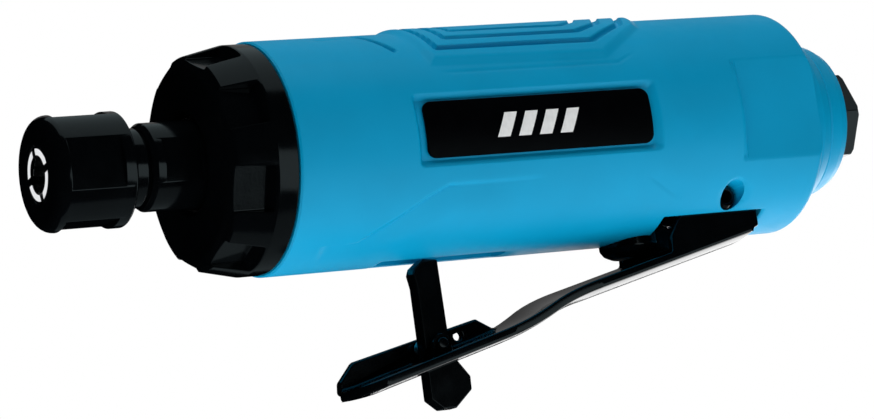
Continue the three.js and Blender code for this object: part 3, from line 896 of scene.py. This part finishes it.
def collet():
    """Spring collet: four jaws parted by slits, with a polished, chamfered nose."""
    jaws = turned("collet_jaws", [
        (NUT_FRONT + 0.7, COLLET_BORE_R, 0.1), (NUT_FRONT + 0.2, 3.5, 0.1), (NUT_FRONT + 0.2, 4.7, 0.1),
        (NUT_FRONT + 0.3, 4.8, 0.1), (-38.8, 4.8), (-37.3, 5.9, 0.2), (-36, 5.9, 0.2), (-22, 4.4, 0.1),
        (-22, COLLET_BORE_R),
    ], 128)
    for i in range(4):
        slit = box_piece("slit", (NUT_FRONT - 1, NUT_BACK), (2, 7), (-0.65, 0.65))
        combine(jaws, moved(slit, turn_x(COLLET_TURN + 90 * i)))
    soften(jaws, 0.08, 2)
    place(jaws, "collet", "collet", "chrome", CHROME)


def spindle():
    shaft = turned("spindle_shaft", [
        (62.8, 0), (62.8, 3.6, 0.2), (62.4, 4), (52.6, 4), (52, 5), (-6.6, 5), (-7.4, 6.3, 0.3),
        (-8, WRENCH_R, 0.2),
        (-21.2, WRENCH_R, 0.3), (-22, 7.4, 0.2), (-22, 6.3, 0.1), (-22.6, 6.3, 0.1), (-22.6, COLLAR_R, 0.3),
        (-25.7, COLLAR_R, 0.5), (-25.7, 6.6), (-35.4, 6.6), (-35.7, 6.4), (-21.6, 4.8), (-20, COLLET_BORE_R),
        (-20, 0),
    ], 128, 4)
    for low, high in ((-10, -WRENCH_FLAT), (WRENCH_FLAT, 10)):
        combine(shaft, box_piece("flat", (-19.6, -12.6), (low, high), (-9, 9)))
    soften(shaft, 0.12, 2)
    place(shaft, "spindle", "rotor", "black_steel", BLACK_STEEL)


# ---------- lever and pawl ----------
def lever_line():
    """The lever's underside in (x, z), with its bends as curves."""
    line = [(LEVER_REAR, -22.05), (64, -30.2)]
    line += curve_points((64, -30.2), (59, -31.4), (55.6, -33.1))
    line += curve_points((55.6, -33.1), (50.5, -35.9), (45, -37.4))
    return [*line, (12.5, -45.6)]


def offset_line(line, distance):
    """The same line moved to its upper side."""
    found = []
    for i, (u, v) in enumerate(line):
        behind = line[max(i - 1, 0)]
        ahead = line[min(i + 1, len(line) - 1)]
        run = Vector((ahead[0] - behind[0], ahead[1] - behind[1])).normalized()
        up = Vector((-run.y, run.x)) if run.x > 0 else Vector((run.y, -run.x))
        found.append((u + up.x * distance, v + up.y * distance))
    return found


def lever_plan():
    """The lever's outline seen from above, with its rounded front tip."""
    half = [(LEVER_REAR, LEVER_HALF), (64, LEVER_HALF), (46, LEVER_TIP_HALF), (18, LEVER_TIP_HALF)]
    tip = curve_points((18, LEVER_TIP_HALF), (13.2, 6), (LEVER_TIP, 0), 8)
    near = half + tip
    return near + [(x, -y) for x, y in reversed(near[:-1])]


def lever_sheet():
    """The pressed sheet: tapered in plan, with its middle hanging a little below its edges."""
    near = [point for point in lever_plan() if point[1] > 0]
    stations = np.unique([x for x, _ in near] + list(np.linspace(LEVER_TIP + 0.4, LEVER_REAR, 120)))
    half = np.interp(stations, *zip(*near[::-1]))
    under = lever_line()
    over = offset_line(under, PLATE)
    shares = np.linspace(-1, 1, 25)
    columns = len(shares)
    points = []
    for line in (under, over):
        heights = np.interp(stations, *zip(*line[::-1]))
        for x, reach, z in zip(stations, half, heights):
            hang = LEVER_CROWN * (reach / LEVER_HALF) ** 2 * (1 - shares**2)
            points += [(x, share * reach, z - drop) for share, drop in zip(shares, hang)]
    upper = len(stations) * columns
    faces = []
    for i in range(len(stations) - 1):
        for k in range(columns - 1):
            one = i * columns + k
            two = one + columns
            faces.append((one, one + 1, two + 1, two))
            faces.append((upper + one, upper + two, upper + two + 1, upper + one + 1))
        for k, turn in ((0, 1), (columns - 1, -1)):
            one = i * columns + k
            two = one + columns
            faces.append((one, two, upper + two, upper + one)[::turn])
    for i, turn in ((0, -1), (len(stations) - 1, 1)):
        for k in range(columns - 1):
            one = i * columns + k
            faces.append((one, one + 1, upper + one + 1, upper + one)[::turn])
    return new_piece("lever_pressing", points, faces)


def lever_cheek():
    """One of the two cheeks that hold the lever on its pin and fill the slot's sides."""
    sweep = [math.pi * (1.05 - 0.95 * k / 14) for k in range(15)]
    crown = [(PIVOT.x + 4.5 * math.cos(t), PIVOT.z + 4.5 * math.sin(t)) for t in sweep]
    rear = [(100.5, -17.6), (100.5, -21.2), (99.2, -21.6)]
    return [(80.4, -25.2), (80.6, -21.6), (83.4, -17), *crown, *rear]


def throttle_lever():
    blank = lever_sheet()
    flange = rounded([
        (14.6, -44.3, 0.8), (14.9, -41.6, 1.2), (18.2, -38, 1.5), (33, -34.8), (45.2, -32.2, 0.8),
        (50.2, -35.2), (45, -37), (33, -40.2),
    ])
    combine(blank, prism("flange", flange, LEVER_TIP_HALF - 1.6, LEVER_TIP_HALF, "y"), "UNION")
    combine(blank, prism("flange_hole", circle(40.8, -35.1, 0.8, 32), 4, 9, "y"))
    lug = rounded([
        (30, -40), (30.6, -36.4, 0.8), (32, -35, 0.6), (32.8, -35, 0.6), (34.2, -36.4, 0.8), (34.8, -39),
    ])
    for side in (-1, 1):
        low, high = sorted((side * (LEVER_HALF - PLATE), side * LEVER_HALF))
        combine(blank, prism("cheek", lever_cheek(), low, high, "y"), "UNION")
        low, high = sorted((side * LUG[0], side * LUG[1]))
        combine(blank, prism("lug", lug, low, high, "y"), "UNION")
    combine(blank, prism("pivot_hole", circle(PIVOT.x, PIVOT.z, LEVER_PIN_R + GAP), -12, 12, "y"))
    combine(blank, prism("pawl_hole", circle(PAWL.x, PAWL.z, PAWL_PIN_R + 0.15, 32), -4, 4, "y"))
    combine(blank, box_piece("pawl_slot", (18.9, 37.6), (-LUG[0], LUG[0]), (-50, -37.3)))
    soften(blank, 0.55, 4)
    place(blank, "throttle_lever", "throttle_lever", "black_steel", BLACK_STEEL)


def safety_pawl():
    corners = [
        (-2.9, -3.4, 0.4), (-3, -10, 0.5), (-0.7, -12, 0.5), (2.1, -12, 0.5), (5.8, -8.9, 0.5),
        (5.9, -6.4, 0.5),
        (3.6, -3.2, 0.5), (2.5, 0), (2.4, PAWL_TOP - 0.3, 0.5), (-0.5, PAWL_TOP, 0.4), (-2.6, 14.6, 0.4),
        (-3.1, 13.4, 0.4), (-2.7, 11, 0.4), (-2.8, 0),
    ]
    outline = rounded([(PAWL.x + x, PAWL.z + z, *edge) for x, z, *edge in corners])
    pawl = prism("pawl_blank", outline, -PAWL_HALF, PAWL_HALF, "y")
    combine(pawl, prism("pin_hole", circle(PAWL.x, PAWL.z, PAWL_PIN_R + GAP, 32), -3, 3, "y"))
    soften(pawl, 0.32, 3)
    place(pawl, "safety_pawl", "safety_pawl", "black_steel", BLACK_STEEL)


def along_y(piece, x, z):
    """Turns a piece made along x to lie along y, through (x, z)."""
    turn = Matrix.Rotation(math.radians(90), 4, "Z")
    return moved(piece, Matrix.Translation((x, 0, z)) @ turn)


def lever_pin():
    """Hollow spring pin with chamfered ends."""
    end = LEVER_PIN_HALF
    pin = turned("lever_roll_pin", [
        (-end, 1.25, 0.1), (-end, 1.8, 0.1), (0.5 - end, LEVER_PIN_R, 0.2), (end - 0.5, LEVER_PIN_R, 0.2),
        (end, 1.8, 0.1), (end, 1.25, 0.1),
    ], 64)
    place(along_y(pin, PIVOT.x, PIVOT.z), "lever_pin", "housing", "black_steel", BLACK_STEEL)


def pawl_pin():
    pin = rod("pawl_rivet", -3.9, 5.5, PAWL_PIN_R, 40, 0.3)
    place(along_y(pin, PAWL.x, PAWL.z), "pawl_pin", "throttle_lever", "black_steel", BLACK_STEEL)


def coil(radius, turns, length, steps):
    found = []
    for k in range(steps + 1):
        turn = 2 * math.pi * turns * k / steps
        found.append((radius * math.cos(turn), radius * math.sin(turn), length * k / steps))
    return found


def pawl_spring():
    wire = swept("pawl_torsion_spring", coil(1.45, 3, 1.6, 96), 0.2)
    moved(wire, Matrix.Translation((PAWL.x, 3.65, PAWL.z)) @ turn_x(-90))
    place(wire, "pawl_spring", "throttle_lever", "steel", STEEL, 60)


# ---------- throttle valve ----------
def along_z(piece):
    """Turns a piece made along x to stand on the valve's upright axis."""
    turn = Matrix.Rotation(math.radians(-90), 4, "Y")
    return moved(piece, Matrix.Translation((VALVE_X, 0, 0)) @ turn)


def valve_button():
    button = turned("valve_plunger", [
        (-24.4, 0), (-24.4, 1.6, 0.8), (-24.1, 3.4, 2), (-23.3, 4.9, 1.2), (-22.2, BUTTON_R, 0.8),
        (-19.2, BUTTON_R, 0.25),
        (-19.2, 2.8), (-12.9, 2.8), (-12.9, 2.2), (-11.5, 2.2), (-11.5, 2.8), (-4.6, 2.8, 0.3), (-4.6, 0),
    ], 96)
    place(along_z(button), "valve_button", "valve", "black_cap", BLACK)


def valve_spring():
    wire = swept("valve_coil_spring", coil(2.1, 5, 8.6, 160), 0.35)
    moved(wire, Matrix.Translation((VALVE_X, 0, -4)))
    place(wire, "valve_spring", "housing", "steel", STEEL, 60)


# ---------- rear end ----------
def exhaust_deflector():
    """Turned ring with a groove round it and six outlets in its rear face."""
    ring = turned("deflector_ring", [
        (112.3, 15.4), (112.3, 18.2, 0.3), (114.6, 17.5, 1.5), (117, 16.1, 0.3), (117.3, 15.5, 0.1),
        (117.7, 15.6, 0.3),
        (120.6, 14.6, 2), (122.3, 13.7, 0.5), (122.7, 13.1, 0.4), (122.7, 8.4, 0.15), (121.2, 8.4),
        (121.2, 13),
    ], 160)
    for i in range(6):
        outlet = rounded([(-2.2, 9.8, 1), (2.2, 9.8, 1), (2.2, 12, 1), (-2.2, 12, 1)])
        combine(ring, moved(prism("outlet", outlet, 120, 124, "x"), turn_x(60 * i + 30)))
    soften(ring, 0.1, 2)
    place(ring, "exhaust_deflector", "exhaust_deflector", "blue_shell", BLUE)


def inlet_bushing():
    """Hexagonal bushing with its corners chamfered and a screw thread in its bore."""
    pitch = 1.41
    mouth = INLET_END - 0.7
    thread = [(mouth, 5.75)]
    for k in range(7):
        station = mouth - 0.3 - pitch * k
        thread += [(station, 5.75), (station - pitch / 2, 6.3)]
    thread += [(INLET_END - 11.4, 5.75), (116.4, 5.75), (115.4, 4.4)]
    body = turned("inlet_hexagon", [
        (101, 4.4), (101, 6.6), (109.5, 6.6), (109.5, 5.8), (110.9, 5.8), (110.9, 6.6), (111.7, 6.6),
        (111.7, 8),
        (122.9, 8), (122.9, 10), (INLET_END - 1.2, 10), (INLET_END, 8.7), (INLET_END, 6.4), *thread,
    ], 120)
    reach = HEX_HALF / math.cos(math.pi / 6)
    corners = []
    for i in range(6):
        turn = math.radians(60 * i + HEX_TURN)
        corners.append((reach * math.sin(turn), -reach * math.cos(turn), 0.25))
    combine(body, prism("hexagon", rounded(corners, steps=3), 100, 130, "x"), "INTERSECT")
    soften(body, 0.1, 2, 40)
    place(body, "inlet_bushing", "housing", "black_steel", BLACK_STEEL)


def inlet_screen():
    """Woven wire screen held in a thin ring."""
    rim_r = 5.4
    station = 116.7
    parts = [turned("rim", ring_section(116.5, 116.9, rim_r - 0.45, rim_r, 0.1), 72)]
    spacing = 0.8
    count = 6
    for i in range(-count, count + 1):
        reach = math.sqrt((rim_r - 0.35) ** 2 - (i * spacing) ** 2)
        for direction in (0, 1):
            steps = 40
            path = []
            for k in range(steps + 1):
                across = -reach + 2 * reach * k / steps
                wave = 0.07 * math.cos(math.pi * (across / spacing + i + direction))
                sideways = i * spacing
                y, z = (across, sideways) if direction else (sideways, across)
                path.append((station + wave, y, z))
            parts.append(swept("wire", path, 0.09, 6))
    place(merged("inlet_gauze", parts), "inlet_screen", "housing", "brass", BRASS, 60)


# ---------- pieces that keep their CAD shape ----------
KEPT = {
    "steel": [
        "front_bearing_inner_ring", "front_bearing_outer_ring", "front_bearing_ball_cage",
        "rear_bearing_inner_ring", "rear_bearing_outer_ring", "rear_bearing_ball_cage", "bearing_spacer",
        "front_end_plate", "cylinder", "rear_end_plate", "locating_pin", "rotor",
    ],
    "aluminium": ["motor_housing"],
    "brass": ["valve_bushing"],
    "rubber": ["valve_o_ring", "inlet_o_ring"],
    "felt": ["dust_seal", "muffler_felt"],
    "vane_fibre": [f"vane_{i}" for i in range(1, 6)],
}
KEPT_FINISH = {
    "steel": STEEL, "aluminium": ALUMINIUM, "brass": BRASS,
    "rubber": RUBBER, "felt": FELT, "vane_fibre": VANE,
}


def dress_kept_nodes():
    for slot, nodes in KEPT.items():
        for node in nodes:
            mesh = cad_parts[node].data
            mesh.materials.clear()
            mesh.materials.append(KEPT_FINISH[slot])


# ---------- studio ----------
CAMERA_PLACE = (-271.55, -572.67, -89.12)     # tool frame, millimetres
CAMERA_AIM = (29.95, -13.22, -13.55)
CAMERA_ROLL = -8.23                           # degrees
CAMERA_LENS = 145.0
BAND_TINT = (0.75, 0.95, 1.0)
FLOOR_HALF = 6.0                              # row frame, metres
FLOOR_HEIGHT = -0.6


def to_row(point):
    return TOOL_ORIGIN + Vector(point) * MM


def make_camera():
    camera = bpy.data.objects.new("camera", bpy.data.cameras.new("camera"))
    bpy.context.scene.collection.objects.link(camera)
    camera.data.lens = CAMERA_LENS
    camera.data.clip_start = 0.01
    camera.location = to_row(CAMERA_PLACE)
    facing = (to_row(CAMERA_AIM) - camera.location).to_track_quat("-Z", "Y")
    camera.rotation_mode = "QUATERNION"
    camera.rotation_quaternion = facing @ Quaternion((0, 0, 1), math.radians(CAMERA_ROLL))
    bpy.context.scene.camera = camera


def softbox(name, place_at, size, watts, colour=(1.0, 1.0, 1.0), shows=False, lights=False):
    """An area light aimed at the tool: shows puts it in reflections, lights gives its soft light."""
    data = bpy.data.lights.new(name, "AREA")
    data.shape = "RECTANGLE"
    data.size, data.size_y = size
    data.energy = watts
    data.color = colour
    light = bpy.data.objects.new(name, data)
    bpy.context.scene.collection.objects.link(light)
    light.location = place_at
    light.rotation_mode = "QUATERNION"
    light.rotation_quaternion = (-Vector(place_at)).to_track_quat("-Z", "Z")
    light.visible_camera = False
    light.visible_glossy = shows
    light.visible_diffuse = lights
    return light


def make_lights():
    softbox("table_glow", (0.0, -0.05, -0.30), (1.2, 1.0), 6.0, lights=True)
    softbox("front_fill", (0.2, -0.85, 0.2), (1.0, 0.8), 1.9, lights=True)
    softbox("top_light", (-0.1, -0.05, 0.8), (1.0, 1.0), 7.8, lights=True)
    softbox("band_card", (0.22, -0.35, -0.18), (0.6, 0.22), 0.25, BAND_TINT, shows=True)
    softbox("low_band_card", (0.2, 0.1, -0.33), (0.6, 0.8), 0.18, BAND_TINT, shows=True)
    softbox("sky_card", (0.35, 0.1, 0.62), (1.2, 1.0), 1.2, BAND_TINT, shows=True)
    softbox("back_high_card", (0.5, 0.75, 0.38), (1.1, 0.4), 0.25, shows=True)
    softbox("horizon_card", (0.85, 0.60, -0.14), (1.2, 0.34), 2.7, shows=True)
    softbox("back_low_card", (0.45, 0.32, -0.28), (0.66, 0.34), 1.2, shows=True)
    nose = softbox("nose_card", (-0.5, 0.2, 0.1), (0.6, 1.2), 2.0, shows=True)
    receivers = bpy.data.collections.new("nose_card_receivers")
    receivers.objects.link(bpy.data.objects["collet_jaws"])
    nose.light_linking.receiver_collection = receivers


def make_floor():
    edge = FLOOR_HALF
    corners = [(x, y, FLOOR_HEIGHT) for x, y in ((-edge, -edge), (edge, -edge), (edge, edge), (-edge, edge))]
    floor = new_piece("floor", corners, [(0, 1, 2, 3)])
    floor.data.materials.append(pale_floor())
    floor.visible_glossy = False


def make_world():
    world = bpy.data.worlds.new("white_studio")
    world.use_nodes = True
    world.node_tree.nodes["Background"].inputs["Color"].default_value = (1, 1, 1, 1)
    world.node_tree.nodes["Background"].inputs["Strength"].default_value = 1.0
    world.cycles_visibility.glossy = False
    world.cycles_visibility.diffuse = False
    bpy.context.scene.world = world
    bpy.context.scene.view_settings.view_transform = "Standard"


# ---------- assembly ----------
make_camera()
make_world()
make_floor()
dress_kept_nodes()
grip_sleeve()
for side, hand in ((-1, "left"), (1, "right")):
    label_plate(side, f"label_plate_{hand}")
    label_mark(side, f"label_mark_{hand}")
front_cap()
collet_nut()
collet()
spindle()
throttle_lever()
lever_pin()
safety_pawl()
pawl_pin()
pawl_spring()
valve_button()
valve_spring()
exhaust_deflector()
inlet_bushing()
inlet_screen()
make_lights()
